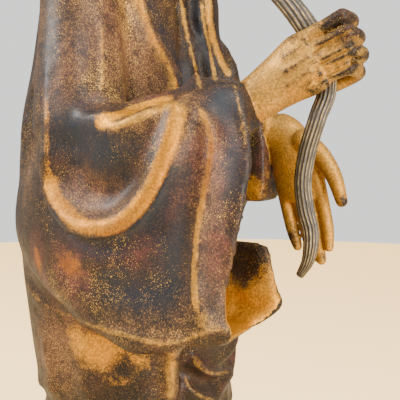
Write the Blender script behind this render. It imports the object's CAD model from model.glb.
# %% [markdown]
# # A standing luohan in worn gilt bronze
#
# The figure is one hollow casting: robes, hands, head and the long eyebrow that its right fist
# holds. It stands on a low oval plinth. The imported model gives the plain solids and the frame.
# This lesson dresses them: it models the casting finely on the same places, and gives both
# pieces their old surface of dark lacquer, rubbed gold and bare warm metal.

# %% Load the fixed frame
import math

import bmesh
import bpy
import numpy as np
from mathutils import Matrix, Vector
from mathutils.bvhtree import BVHTree


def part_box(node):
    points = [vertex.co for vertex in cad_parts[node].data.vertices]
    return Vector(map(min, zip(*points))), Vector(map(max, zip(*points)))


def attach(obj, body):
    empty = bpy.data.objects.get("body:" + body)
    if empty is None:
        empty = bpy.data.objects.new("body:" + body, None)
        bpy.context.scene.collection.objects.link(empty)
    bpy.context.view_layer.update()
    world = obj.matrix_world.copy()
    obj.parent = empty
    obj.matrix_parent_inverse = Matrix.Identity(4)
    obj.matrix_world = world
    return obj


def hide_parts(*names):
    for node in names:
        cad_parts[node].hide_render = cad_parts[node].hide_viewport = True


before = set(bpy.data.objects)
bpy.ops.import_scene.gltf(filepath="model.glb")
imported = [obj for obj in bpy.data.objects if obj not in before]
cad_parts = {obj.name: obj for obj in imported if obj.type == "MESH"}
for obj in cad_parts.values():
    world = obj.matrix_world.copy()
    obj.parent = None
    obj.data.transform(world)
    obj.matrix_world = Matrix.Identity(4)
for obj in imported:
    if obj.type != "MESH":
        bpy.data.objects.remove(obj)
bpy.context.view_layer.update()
figure_low, figure_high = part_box("figure")
base_low, base_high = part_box("base")
print("figure", [round(v, 4) for v in figure_high - figure_low], "stands at", round(figure_low.z, 4))

# %% [markdown]
# ## The sculptor's measure
#
# A figure is planned in parts of its own height, not in metres. Here one part is a 320th of the
# height from soles to crown, and z is counted from the soles. Everything is modelled in parts
# and is brought to metres once, at the end, so that a bigger or smaller cast needs no new number.

# %% Measures, in parts
HEIGHT_IN_PARTS = 320.0
PART = (figure_high.z - figure_low.z) / HEIGHT_IN_PARTS
SOLE_Z = figure_low.z
CHIN_Z, CROWN_Z = 269.0, 320.0
HEAD_HALF_WIDTH, HEAD_Y, FACE_Y = 17.0, -8.5, -29.5
OUTER_HEM_Z, SECOND_HEM_Z = 106.5, 42.0
SLEEVE_WALL = 2.3
U_FOLD_HALF_WIDTH, U_FOLD_FLATNESS = 3.4, 0.85
EYEBROW_WIDTH, EYEBROW_THICK = 6.2, 3.6
FINGER_RADIUS = 1.9
ROBE_GRAIN, HAND_GRAIN, HEAD_GRAIN = 1.0, 0.42, 0.5
print("one part is", round(PART * 1000, 4), "mm")

# %% [markdown]
# ## Where the visitor stands
#
# The picture is taken close to the figure's right sleeve and a little above it. The camera comes
# first, because the boldest folds are drawn from this place, as a carver works from a sketch.

# %% Camera
VIEW_AZIMUTH, VIEW_ELEVATION = math.radians(-60), math.radians(6)
VIEW_DISTANCE, AIM_ASIDE, AIM_Z, LENS, SENSOR = 0.250, 0.023, 0.164, 70.3, 36.0
backward = Vector((math.sin(VIEW_AZIMUTH) * math.cos(VIEW_ELEVATION),
                   -math.cos(VIEW_AZIMUTH) * math.cos(VIEW_ELEVATION), math.sin(VIEW_ELEVATION)))
aside = (-backward).cross(Vector((0, 0, 1))).normalized()
upward = backward.cross(aside)
camera_data = bpy.data.cameras.new("camera")
camera_data.lens, camera_data.sensor_width, camera_data.clip_start = LENS, SENSOR, 0.005
camera = bpy.data.objects.new("camera", camera_data)
bpy.context.scene.collection.objects.link(camera)
camera.location = aside * AIM_ASIDE + Vector((0, 0, SOLE_Z + AIM_Z)) + backward * VIEW_DISTANCE
camera.rotation_euler = backward.to_track_quat("Z", "Y").to_euler()
bpy.context.scene.camera = camera
EYE = (camera.location - Vector((0, 0, SOLE_Z))) / PART
PICTURE_SIDE = 400
FOCAL = PICTURE_SIDE * LENS / SENSOR
print("the eye is", [round(v) for v in EYE], "parts from the soles")


# %% [markdown]
# ## Rounded forms from rings
#
# Sleeves, fingers and folds are all soft tubes. Each one starts as circles from Blender's own
# circle operator, whose points are moved to their places on a smooth curve, and the bridge
# operator spans the skin between one circle and the next. The end circles are capped, so that
# every form is closed and can be united with its neighbours later.

# %% Curves, rings and forms
def spline(stations, steps):
    """Catmull-Rom curve through stations, each with any number of values."""
    knots = np.array(stations, dtype=float)
    ends = np.vstack([2 * knots[0] - knots[1], knots, 2 * knots[-1] - knots[-2]])
    out = []
    for i in range(1, len(ends) - 2):
        a, b, c, d = ends[i - 1:i + 3]
        for s in range(steps):
            t = s / steps
            out.append(0.5 * (2 * b + (c - a) * t + (2 * a - 5 * b + 4 * c - d) * t ** 2
                              + (3 * b - a - 3 * c + d) * t ** 3))
    out.append(knots[-1])
    return out


def skin(bm, rings):
    """Circles moved to their places and bridged, the first and last one capped."""
    before = None
    for k, places in enumerate(rings):
        capped = k in (0, len(rings) - 1)
        verts = bmesh.ops.create_circle(bm, cap_ends=capped, segments=len(places), radius=1)["verts"]
        verts.sort(key=lambda vert: math.atan2(vert.co.y, vert.co.x))
        for vert, place in zip(verts, places):
            vert.co = place
        edges = [bm.edges.get((a, b)) for a, b in zip(verts, verts[1:] + verts[:1])]
        if before:
            bmesh.ops.bridge_loops(bm, edges=before + edges)
        before = edges


CLIMB_FROM_Y, CLIMB_HEIGHT = 25, 40


def stack(bm, stations, sides=64, steps=5, square=2.3, rise=0.0):
    """Upright form of horizontal ovals: (z, x, y, half-width, half-depth).

    With a rise, the foot of the form climbs towards the front by that much a part.
    """
    foot = stations[0][0]
    rings = []
    for z, x, y, a, b in spline(stations, steps):
        ring = []
        for i in range(sides):
            turn = 2 * math.pi * i / sides
            c, s = math.cos(turn), math.sin(turn)
            away = y + b * math.copysign(abs(s) ** (2 / square), s)
            climb = rise * (CLIMB_FROM_Y - away) * max(0.0, 1 - (z - foot) / CLIMB_HEIGHT)
            ring.append((x + a * math.copysign(abs(c) ** (2 / square), c), away, z + climb))
        rings.append(ring)
    skin(bm, rings)


def frames(path, side):
    """Of each row of a path: the row, its place, and two directions across the run."""
    for k, row in enumerate(path):
        after, before = Vector(path[min(k + 1, len(path) - 1)][:3]), Vector(path[max(k - 1, 0)][:3])
        ahead = (after - before).normalized()
        across = (Vector(side) - ahead * ahead.dot(Vector(side))).normalized()
        yield row, Vector(row[:3]), across, ahead.cross(across)


def limb(bm, stations, side=(0, 1, 0), sides=20, steps=5):
    """Round-ended tube along a path: (x, y, z, half-size along side, half-size across it)."""
    path = spline(stations, steps)
    turns = [2 * math.pi * i / sides for i in range(sides)]
    skin(bm, [[here + across * row[3] * math.cos(turn) + other * row[4] * math.sin(turn) for turn in turns]
              for row, here, across, other in frames(path, side)])
    for row in (path[0], path[-1]):
        pebble(bm, row[:3], (min(row[3], row[4]),) * 3, fine=14)


def pebble(bm, centre, radii, turn=(0, 0, 0), fine=20):
    """Ellipsoid, turned by Euler angles in degrees."""
    spin = Matrix.Rotation(math.radians(turn[2]), 4, "Z") \
        @ Matrix.Rotation(math.radians(turn[1]), 4, "Y") \
        @ Matrix.Rotation(math.radians(turn[0]), 4, "X")
    place = Matrix.Translation(centre) @ spin @ Matrix.Diagonal((*radii, 1))
    bmesh.ops.create_uvsphere(bm, u_segments=fine, v_segments=max(8, fine // 2), radius=1, matrix=place)


BAG_ROUNDNESS, BAG_MIDDLE_THICKNESS, BAG_PINCH = 2.2, 1.02, 6


def slab(bm, levels, back_x, bulge, edge_x, fine=24):
    """Hanging cloth bag at the figure's right: (z, y at the back, y at the front, thickness)."""
    rings = []
    for z, y_back, y_front, thick in spline(levels, 4):
        outer, inner = [], []
        for i in range(fine + 1):
            u = -1 + 2 * i / fine
            y = y_back + (y_front - y_back) * (u + 1) / 2
            edge = back_x + (edge_x - back_x) * (u + 1) / 2
            x = edge - bulge * (1 - abs(u) ** BAG_ROUNDNESS)
            outer.append((x, y, z))
            inner.append((x + thick * (BAG_MIDDLE_THICKNESS - u ** BAG_PINCH), y, z))
        rings.append(outer + inner[::-1])
    skin(bm, rings)


def block(bm, levels):
    """Upright form with four corners: (z, near x, near y, far x, far y, back y)."""
    skin(bm, [[(near_x, near_y, z), (far_x, far_y, z), (far_x, back_y, z), (near_x, back_y, z)]
              for z, near_x, near_y, far_x, far_y, back_y in spline(levels, 4)])


# %% [markdown]
# ## From overlapping forms to one skin
#
# Clay is built up from lumps that the hand then joins. A voxel remesh does that joining: it lays
# an even grid over all the closed forms and keeps the outer skin alone. It rounds off what is
# smaller than its grid, so coarse cloth gets a coarse grid, and hands and face a fine one.

# %% Objects, joining and cutting
def form_object(name, *fills):
    """New object filled by functions that add closed forms to a bmesh."""
    bm = bmesh.new()
    for fill in fills:
        fill(bm)
    bmesh.ops.recalc_face_normals(bm, faces=bm.faces)
    mesh = bpy.data.meshes.new(name)
    bm.to_mesh(mesh)
    bm.free()
    made = bpy.data.objects.new(name, mesh)
    bpy.context.scene.collection.objects.link(made)
    return made


def add_forms(made, *fills):
    """More closed forms in the same object."""
    bm = bmesh.new()
    bm.from_mesh(made.data)
    for fill in fills:
        fill(bm)
    bm.to_mesh(made.data)
    bm.free()


def settle(made):
    """Replace an object's mesh by the result of its modifiers."""
    bpy.context.view_layer.update()
    graph = bpy.context.evaluated_depsgraph_get()
    result = bpy.data.meshes.new_from_object(made.evaluated_get(graph))
    made.modifiers.clear()
    made.data = result


def unite(made, grain, smooth_rounds):
    """Join all forms of an object on an even grid, then smooth lightly."""
    remesh = made.modifiers.new("unite", "REMESH")
    remesh.mode = "VOXEL"
    remesh.voxel_size = grain
    if smooth_rounds:
        smooth = made.modifiers.new("smooth", "SMOOTH")
        smooth.factor = 0.5
        smooth.iterations = smooth_rounds
    settle(made)


def combine(made, other, operation):
    """Boolean of two closed objects; the second one is used up."""
    boolean = made.modifiers.new("combine", "BOOLEAN")
    boolean.operation = operation
    boolean.object = other
    boolean.solver = "MANIFOLD"
    settle(made)
    bpy.data.objects.remove(other)


def thin_out(made, triangles):
    """Fewer triangles, kept where the surface turns most."""
    made.data.calc_loop_triangles()
    have = len(made.data.loop_triangles)
    if have > triangles:
        reduce = made.modifiers.new("thin_out", "DECIMATE")
        reduce.ratio = triangles / have
        settle(made)


def count(made):
    """Number of triangles of an object."""
    made.data.calc_loop_triangles()
    return len(made.data.loop_triangles)


# %% [markdown]
# ## Folds drawn on the cloth
#
# A fold is easiest to plan as a line seen from one side, the way one would draw it. The line is
# shot onto the surface with rays. Points near it are then lifted or sunk along their normals: a
# rounded crest for a fold, and a one-sided step for an edge where one layer of cloth lies on the
# next. The same laid lines say later where the gold is rubbed bright.

# %% Drawing folds
SIGHT = {"right": (Vector((-90, 0, 0)), Vector((1, 0, 0))),
         "left": (Vector((90, 0, 0)), Vector((-1, 0, 0))),
         "front": (Vector((0, -120, 0)), Vector((0, 1, 0))),
         "back": (Vector((0, 90, 0)), Vector((0, -1, 0)))}


def tree_of(made):
    """The object's faces, sorted for rays."""
    return BVHTree.FromPolygons([tuple(v.co) for v in made.data.vertices],
                                [tuple(f.vertices) for f in made.data.polygons])


def sight_line(seen_from, across, up):
    """Start and direction of the line of sight through a drawn point.

    From a side, points are parts across and up. The visitor's are 400ths of the picture, from
    its upper left corner.
    """
    if seen_from == "visitor":
        half = PICTURE_SIDE / 2
        return EYE, (aside * (across - half) + upward * (half - up) - backward * FOCAL).normalized()
    start, way = SIGHT[seen_from]
    if seen_from in ("right", "left"):
        return Vector((start.x, across, up)), way
    return Vector((across, start.y, up)), way


def lay(tree, seen_from, drawn, steps=6, proud=0.0):
    """Points where a drawn curve meets the surface, raised off it by proud."""
    laid = []
    for across, up in spline(drawn, steps):
        spot, normal = tree.ray_cast(*sight_line(seen_from, across, up))[:2]
        if spot is not None:
            laid.append(np.array(spot + normal * proud))
    return laid


def near_path(points, normals, path, reach):
    """For points within reach of a polyline: their numbers, distance, share along it and side."""
    path = np.array(path)
    low, high = path.min(0) - reach, path.max(0) + reach
    picked = np.nonzero(np.all((points > low) & (points < high), axis=1))[0]
    spots, tops = points[picked], normals[picked]
    best = np.full(len(picked), 1e9)
    share = np.zeros(len(picked))
    side = np.zeros(len(picked))
    lengths = np.linalg.norm(path[1:] - path[:-1], axis=1)
    total, run = lengths.sum(), 0.0
    for a, b, length in zip(path[:-1], path[1:], lengths):
        if length > 1e-9:
            t = np.clip((spots - a) @ (b - a) / length ** 2, 0, 1)
            away = spots - (a + t[:, None] * (b - a))
            gap = np.linalg.norm(away, axis=1)
            nearer = gap < best
            best[nearer] = gap[nearer]
            share[nearer] = (run + t[nearer] * length) / total
            turned = np.cross((b - a) / length, tops[nearer])
            side[nearer] = np.einsum("ij,ij->i", away[nearer], turned)
        run += length
    close = best < reach
    return picked[close], best[close], share[close], side[close]


def mesh_arrays(made):
    """Points and normals of an object's mesh."""
    mesh = made.data
    points = np.empty(len(mesh.vertices) * 3)
    mesh.vertices.foreach_get("co", points)
    normals = np.empty(len(mesh.vertices) * 3)
    mesh.vertex_normals.foreach_get("vector", normals)
    return points.reshape(-1, 3), normals.reshape(-1, 3)


# Shape of a fold or edge, in widths and in shares of its height and length.
FOLD_REACH, EDGE_REACH, FADE_SHARE = 3, 8, 0.12
STEP_SOFTNESS, STEP_LENGTH = 0.22, 3.2
LIP_HEIGHT, LIP_PLACE, SEAT_PLACE = 0.35, 0.5, 0.6


def draw(made, folds):
    """Lift or sink the surface along folds: (kind, seen from, height, width, drawn curve).

    A fold is a rounded crest, or a valley where its height is negative. On an edge, the cloth to
    the left of the curve's run lies on top and ends in a small lip. On an edge_right, the other.
    """
    points, normals = mesh_arrays(made)
    tree = tree_of(made)
    lift = np.zeros(len(points))
    for kind, seen_from, height, width, drawn in folds:
        path = lay(tree, seen_from, drawn)
        if len(path) < 2:
            continue
        reach = (FOLD_REACH if kind == "fold" else EDGE_REACH) * width
        at, gap, share, side = near_path(points, normals, path, reach)
        fade = np.clip(np.minimum(share, 1 - share) / FADE_SHARE, 0.1, 1)
        if kind == "fold":
            lift[at] += height * fade * np.exp(-(gap / width) ** 2)
        else:
            over = gap * np.sign(side) * (-1 if kind == "edge" else 1)
            step = 1 / (1 + np.exp(-over / (STEP_SOFTNESS * width)))
            worn = np.exp(-np.clip(over, 0, None) / (STEP_LENGTH * width))
            lip = LIP_HEIGHT * np.exp(-((over - LIP_PLACE * width) / (LIP_PLACE * width)) ** 2)
            seat = LIP_HEIGHT * np.exp(-((over + SEAT_PLACE * width) / (SEAT_PLACE * width)) ** 2)
            lift[at] += height * fade * (step * worn + lip - seat)
    points += normals * lift[:, None]
    made.data.vertices.foreach_set("co", points.reshape(-1))
    made.data.update()


def roll(bm, tree, seen_from, drawn, shares, half_width, flatness=1.0, proud=0.0):
    """Roll along a drawn curve; shares of its half-width are spread evenly from end to end."""
    laid = lay(tree, seen_from, drawn, steps=3, proud=proud)
    stations = []
    for k, place in enumerate(laid):
        size = half_width * np.interp(k / (len(laid) - 1), np.linspace(0, 1, len(shares)), shares)
        stations.append((*place, size * flatness, size))
    limb(bm, stations, side=backward, sides=18, steps=2)


# %% [markdown]
# ## Robes, arms and sleeves
#
# Three layers of dress hang one over the other, so each is a stack of ovals that ends in its own
# hem. The right sleeve is a deep bag that hangs from the forearm, and its mouth is open to the
# front, with the far side of the cloth flared out. It is made solid first and then hollowed,
# which leaves a wall of even thickness round the mouth.

# %% Forms of the dress
def fill_body(bm):
    """Three tiers of robe, the neck, and the rolled collar round it."""
    stack(bm, [(-2, 0, -0.5, 33.5, 29), (2, 0, -0.5, 33, 28.6), (12, 0, -0.8, 30.6, 26.8),
               (28, 0, -1.4, 28.6, 25.4), (48, 0, -2, 27.6, 25), (64, 0, -2.4, 27, 25)])
    stack(bm, [(SECOND_HEM_Z, 0, -2.2, 34.6, 30.4), (SECOND_HEM_Z + 3, 0, -2.2, 33.8, 29.6),
               (60, 0, -2.8, 31, 27.4), (78, 0, -3.8, 29.8, 26.4), (95, 0, -4.4, 30.8, 26.2),
               (112, 0, -4.6, 32.4, 27.4), (122, 0, -4.6, 32, 28)])
    stack(bm, [(OUTER_HEM_Z, 0, -4.2, 34.8, 29.4), (OUTER_HEM_Z + 4, 0, -4.2, 33.9, 28.7),
               (119, 0, -4.6, 34.6, 30.6), (132, 0, -3, 35, 30.6), (146, 0, -1, 35.4, 30),
               (167, 0, 0.8, 35.2, 28.8), (187, 0, 1.5, 34.6, 26), (202, 0, 1.5, 32.8, 22.4),
               (215, 0, 1.3, 30.8, 20.4), (228, 0, 1, 29, 19), (238, 0, 1, 27.4, 17.6),
               (246, 0, 1.2, 25, 16), (252, 0, 1, 21, 14.6), (257, 0, 0.4, 16.6, 13.4),
               (262, 0, -0.6, 13.4, 12.4)], rise=0.2)
    limb(bm, [(0, 1, 246, 13, 13), (0, -1.5, 260, 12.4, 12.4), (0, -5, 280, 12, 12.4)])
    limb(bm, [(-4, -18, 232, 2.4, 4), (-10, -15.5, 243, 2.6, 4.4), (-15, -8, 254.5, 2.8, 5),
              (-14.8, 2, 262, 2.9, 5.4), (-9.4, 10.6, 266.5, 2.9, 5.6), (0, 13.6, 268, 2.9, 5.6),
              (9.4, 10.6, 266.5, 2.9, 5.6), (14.8, 2, 262, 2.9, 5.4), (15, -8, 254.5, 2.8, 5),
              (10, -15.5, 243, 2.6, 4.4), (2, -18.4, 230, 2.4, 4)], side=(0, 0.4, 0.9), sides=20)


def fill_right_arm(bm):
    """Upper arm, forearm, the hanging bag of the sleeve, and its open end."""
    limb(bm, [(-19, 0, 245, 9.5, 8.6), (-25.5, -2.5, 234, 10.8, 10.4), (-28.5, -4.5, 216, 11.8, 11),
              (-31.5, -6.5, 200, 13, 11.5), (-35, -9, 186, 14, 11.5)], sides=28)
    limb(bm, [(-36, -9, 181, 12.5, 10.5), (-34, -25, 182, 12, 11.5), (-29.5, -40, 186.5, 11, 10.8),
              (-26.5, -50, 191.5, 8.8, 8.4)], side=(0, 0, 1), sides=28)
    slab(bm, [(192, 4, -50, 14), (182, 14, -59, 16), (172, 20, -60, 17), (160, 22.5, -58.5, 17),
              (151, 20.5, -56, 16), (143, 14, -54.6, 14), (136.5, 3, -55, 11), (132.5, -12, -50, 8),
              (130.5, -24, -42, 5)], back_x=-28, bulge=15.5, edge_x=-34.5)
    block(bm, [(199.5, -28.5, -55, -20, -53, -40), (190, -32.5, -59.4, -17, -49, -30),
               (180, -35, -61.8, -15, -46, -24), (170, -36, -60.6, -14, -42, -24),
               (160, -36.5, -58.6, -14, -40, -24), (156.4, -36.5, -57.6, -11, -46, -24),
               (154.6, -36.5, -57, -6, -52.6, -24), (147, -36.5, -55.2, -4.6, -54.6, -24),
               (138, -36, -56, -5.6, -56.4, -24),
               (133.5, -34.5, -55, -7.5, -53, -24), (130.5, -31, -49, -14, -46, -24)])


def fill_sleeve_mouth(bm):
    """The room to be cut out of the sleeve's open end."""
    wall = SLEEVE_WALL
    block(bm, [(177, -31, -72, -20, -72, -44), (168, -36 + wall, -72, -14 - wall, -72, -38),
               (157, -36.5 + wall, -72, -6 - wall, -72, -35), (147, -36.5 + wall, -72, -4.6 - wall, -72, -34),
               (140, -36 + wall, -72, -6 - wall, -72, -36), (133.8, -34 + wall, -72, -10 - wall, -72, -42)])


def fill_left_arm(bm):
    """Upper arm, forearm, the fall of the sleeve, the cuff, and the lapel that lies before it."""
    limb(bm, [(19, 0, 245, 9.5, 8.6), (25.5, -1.5, 234, 10.8, 10.4), (29, -1.5, 216, 12, 11),
              (32.5, -2, 200, 13.2, 11.5), (36, -3, 186, 14, 11.5)], sides=28)
    limb(bm, [(36, -3, 184, 12.5, 10.5), (32, -15, 186, 12, 11.5), (27, -26, 185, 12, 10.5),
              (24.5, -32, 180, 13, 8)], side=(0, 0, 1), sides=28)
    stack(bm, [(130, 31, 8, 6, 12), (135, 34, 4, 9, 18), (146, 36, 2, 10.5, 21), (158, 36, -0.5, 11, 22),
               (168, 35, -4, 11, 23), (182, 34, -6, 10, 22)], square=2.2)
    block(bm, [(194, 18, -35, 31, -36, -22), (186, 17.6, -38.6, 31.4, -39, -20),
               (176, 17.4, -39.6, 31.4, -39.8, -18), (168, 17.6, -39.4, 31, -39.8, -18),
               (163.4, 18, -38.8, 30.6, -39.4, -19)])
    limb(bm, [(13, -14, 246, 2.6, 4), (14, -18, 236, 3, 4.6), (14, -21, 226, 3.2, 4.8),
              (14, -21.4, 217, 3.4, 4.8), (14.4, -23.4, 210, 3.4, 5), (15, -26.6, 203, 3.6, 5.4),
              (17, -28, 194, 4, 6), (20, -27, 186, 4, 6)])


def fill_feet(bm):
    """A shoe and its sole on each side."""
    for s in (-1, 1):
        limb(bm, [(s * 12, -10, 5, 8, 6.5), (s * 13, -26, 4.8, 8.6, 5.6), (s * 13.6, -34, 4.6, 6.8, 4.2)],
             side=(1, 0, 0))
        limb(bm, [(s * 12, -10, 0.8, 9, 2.2), (s * 13, -26, 0.8, 9.6, 2.2), (s * 13.6, -35.4, 0.8, 7.6, 2.2)],
             side=(1, 0, 0))


sleeve = form_object("right_sleeve", fill_right_arm)
unite(sleeve, ROBE_GRAIN, 1)
combine(sleeve, form_object("sleeve_mouth", fill_sleeve_mouth), "DIFFERENCE")
robe = form_object("robe", fill_body, fill_left_arm, fill_feet, lambda bm: bm.from_mesh(sleeve.data))
bpy.data.objects.remove(sleeve)
unite(robe, ROBE_GRAIN, 5)
print("robe forms united:", count(robe), "triangles")

# %% [markdown]
# ## The lines of the drapery
#
# The right sleeve has the boldest folds: a thick rolled U under the elbow, a long ridge from the
# crook down to the hem, and a deep crease in the crook. The lapels and the inner collar are
# edges of layers. The skirts hang in upright folds, which a small function sets out with a
# little sway, and the hidden back and left side are drawn with fewer lines in the same hand.

# %% Fold lines
U_ROLL = [(48, 66), (46.5, 90), (46.5, 110), (47, 130), (47.5, 165), (52, 191), (61, 206), (73, 219),
          (92, 227), (114, 225), (131, 214), (146, 195), (156, 178), (168, 148), (175, 124), (181, 106),
          (184, 99)]
U_FOOT = [(42, 130), (42.5, 168), (46, 196), (56, 215), (70, 230), (92, 238.5), (116, 236), (136, 224),
          (152, 204), (164, 184), (176, 152)]
SLEEVE_RIDGE = [(195, 102), (204, 116), (209, 129), (211, 146), (207.5, 172), (200, 212), (196, 242),
                (194, 270), (195, 300), (198, 322)]
RIDGE_VALLEY = [(192, 118), (199, 134), (201, 150), (197, 178), (190, 214), (186, 246), (184, 274),
                (185, 304)]
CROOK = [(103, 119), (112, 117), (126, 112.5), (145, 107), (164, 102), (176, 99)]
CROOK_LIP = [(104, 127), (116, 125), (132, 119), (150, 112), (168, 105.5), (182, 103)]
CROOK_BROW = [(98, 112), (112, 109.5), (128, 105), (146, 100), (166, 96)]
SLEEVE_HEM = [(21, 268), (28, 290), (40, 305), (57, 315), (95, 330), (127, 340), (157, 347), (182, 345),
              (200, 338), (220, 333), (232, 333)]
MOUTH_RIM = [(236, 92), (240, 115), (245, 135), (248, 155), (244, 182), (239, 205), (233, 236), (229, 280),
             (230, 314), (232, 330)]
NEAR_LAPEL = [(128, -28), (140, 0), (147.5, 20), (157.5, 42.5), (167.5, 60), (175, 77.5), (178, 93)]
INNER_FOLD = [(174, -26), (177, 4), (180, 30), (181.5, 60), (181, 90)]
SECOND_COLLAR = [(176, -28), (181, 0), (185, 25), (192, 55), (199, 82), (201, 98)]
THIRD_COLLAR = [(200, -10), (203, 16), (206, 32), (211, 57), (215, 77), (217, 86)]
UPPER_SWAG = [(191, 350), (197, 365), (211, 373), (234, 371)]
LOWER_SWAG = [(184, 374), (190, 388), (203, 397), (216, 401)]


def moved(drawn, across=0, down=0):
    """The same curve in another place of the picture."""
    return [(x + across, y + down) for x, y in drawn]


def folds(seen_from, *rows, kind="fold"):
    """Folds seen from one place: (height, width, drawn curve)."""
    return [(kind, seen_from, *row) for row in rows]


def hanging(seen_from, places, top, foot, height, width, sway=1.0):
    """Upright folds of a skirt, one for each place across; they sway a little on the way down."""
    hung = []
    for k, across in enumerate(places):
        drawn = [(across + sway * math.sin(2.1 * k + 4.2 * t), top + (foot - top) * t)
                 for t in (0, 0.33, 0.67, 1)]
        hung.append(("fold", seen_from, height * (0.85 + 0.3 * math.cos(1.7 * k)), width, drawn))
    return hung


SLEEVE_FOLDS = (
    folds("visitor", (1.9, 1.5, U_FOOT), kind="edge")
    + folds("visitor", (-1.7, 1.0, U_FOOT), (1.3, 1.0, SLEEVE_RIDGE), (1.4, 3.6, SLEEVE_RIDGE),
            (-1.5, 2.6, RIDGE_VALLEY), (-1.8, 1.8, CROOK), (1.5, 1.9, CROOK_LIP), (1.2, 1.5, CROOK_BROW),
            (1.2, 1.0, [(259, 244), (257, 262), (251, 280), (240, 293)]),
            (1.0, 0.9, [(266, 262), (259, 284), (246, 303)]),
            (1.3, 2.4, [(203, 312), (205, 324), (203, 334)]),
            (1.0, 1.0, [(200, 101), (207, 93), (220, 86), (229, 78)]),
            (0.9, 0.8, MOUTH_RIM), (-0.8, 0.9, moved(MOUTH_RIM, -5)),
            (-2.2, 4.6, [(72, 126), (70, 156), (80, 184), (104, 194), (124, 180), (138, 156)]),
            (0.8, 3.0, [(70, 250), (100, 262), (135, 258), (165, 236)]),
            (-0.7, 2.6, [(50, 262), (90, 286), (140, 290), (176, 276)]),
            (0.5, 2.0, [(215, 330), (212, 300), (216, 262), (222, 220)]),
            (0.7, 1.2, moved(SLEEVE_HEM, 0, -4)), (-0.5, 1.6, moved(SLEEVE_HEM, 0, -13)),
            (0.8, 1.6, [(103, 16), (102, 50), (101, 80), (100, 100)]),
            (-0.8, 2.2, [(88, 20), (86, 60), (84, 96)]))
    + folds("visitor", (1.0, 1.2, [(36, 84), (31, 98), (27, 118), (24, 150)]), kind="edge_right")
    + folds("right", (-0.9, 2.0, [(10, 222), (13, 208), (14, 196)])))
FRONT_FOLDS = (
    folds("visitor", (3.4, 1.4, NEAR_LAPEL), kind="edge_right")
    + folds("visitor", (-2.0, 1.6, INNER_FOLD))
    + folds("visitor", (2.6, 1.1, SECOND_COLLAR), (2.3, 1.0, THIRD_COLLAR), kind="edge_right")
    + folds("front", (1.7, 1.5, [(18, 252), (21, 238), (19.5, 222), (16, 208), (8, 194), (-4, 181)]),
            (1.2, 1.3, [(10, 254), (10, 236), (8, 222), (3, 206), (-4, 192)]), kind="edge")
    + folds("visitor", (2.4, 2.6, [(172, 346), (171, 372), (170, 390), (169, 412)]),
            (-1.8, 1.2, [(159, 350), (158, 372), (157, 394)]),
            (-3.4, 1.5, [(187, 344), (186, 364), (183, 384), (181, 408)]),
            (2.6, 1.2, UPPER_SWAG), (-1.6, 1.4, [(198, 348), (206, 360), (220, 365), (237, 362)]),
            (1.7, 1.2, LOWER_SWAG), (1.3, 1.2, [(226, 377), (217, 388), (213, 402)]))
    + folds("front", (1.6, 2.0, [(-23, OUTER_HEM_Z), (-22, 84), (-20, 62), (-19, SECOND_HEM_Z)]),
            (1.4, 1.8, [(-21, 128), (-12, 118.5), (0, 115), (14, 119), (26, 130)]),
            (1.3, 1.7, [(-20, 116), (-10, 108), (2, 106), (14, 109), (27, 119)]),
            (-1.1, 1.8, [(-20, 122), (-11, 113), (1, 110.5), (14, 114), (26, 124)]),
            (1.3, 2.4, [(-16, 150), (-6, 138), (6, 133), (18, 138), (27, 150)]),
            (0.9, 2.2, [(-14, 164), (-4, 152), (8, 147), (20, 152), (27, 160)])))
LEFT_FOLDS = (
    folds("visitor", (1.5, 1.3, [(249, 128), (256, 124), (262, 126)]),
          (-1.4, 1.2, [(248, 152), (256, 146), (264, 146)]), (1.2, 1.4, [(248, 166), (256, 158), (265, 156)]))
    + folds("left", (1.8, 2.4, [(2, 204), (2, 188), (0, 174), (-6, 163), (-13, 160), (-20, 164), (-25, 172)]),
            (1.2, 2.4, [(10, 204), (11, 186), (9, 168), (2, 152), (-8, 146), (-18, 149)]),
            (1.1, 2.2, [(16, 196), (17, 176), (15, 156), (12, 138)]),
            (-2.0, 1.9, [(-12, 194), (-20, 196), (-28, 197)])))
BACK_FOLDS = folds("back", (1.5, 2.6, [(20, 236), (8, 214), (-6, 196), (-22, 182)]),
                   (1.4, 2.6, [(24, 222), (12, 196), (-4, 172), (-22, 156)]),
                   (1.4, 2.8, [(26, 202), (16, 172), (0, 146), (-18, 130)]),
                   (1.3, 2.6, [(26, 176), (20, 150), (10, 128), (2, 110)]))


def around(z, reach=24):
    """A level line round the skirt, as one curve from each side."""
    return [(seen_from, [(-reach, z), (0, z), (reach, z)]) for seen_from in SIGHT]


# Of each row of hanging folds: side, places across, highest height and width.
SECOND_TIER = (("front", (-10, 1, 12, 23), 2.5, 2.3), ("back", (-20, -7, 6, 19), 2.6, 2.5),
               ("right", (-14, -2, 12), 2.3, 2.3), ("left", (-15, -3, 10), 2.5, 2.3))
ABOVE_THE_HEM = (("right", (-9, 6), 1.3, 2.4), ("left", (-10, 5), 1.3, 2.4))
LOWEST_TIER = (("front", (-22, -4, 5, 22), 1.5, 2.0), ("back", (-18, -6, 7, 19), 1.5, 2.2),
               ("right", (-12, 0, 11), 1.4, 2.0), ("left", (-12, 0, 11), 1.4, 2.0))
TIERS = ((OUTER_HEM_Z - 2, SECOND_HEM_Z, SECOND_TIER), (128, OUTER_HEM_Z, ABOVE_THE_HEM),
         (SECOND_HEM_Z, 1, LOWEST_TIER))
SKIRT_FOLDS = [fold for top, foot, rows in TIERS for seen_from, places, height, width in rows
               for fold in hanging(seen_from, places, top, foot, height, width)]
SKIRT_FOLDS += [("fold", seen_from, -0.8, 0.7, drawn) for seen_from, drawn in around(SECOND_HEM_Z + 6)]
U_ROLL_SHARES, U_ROLL_SUNK = (0.3, 0.34, 0.4, 0.5, 0.7, 0.95, 1, 1, 1, 0.95, 0.7), 0.2
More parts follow.
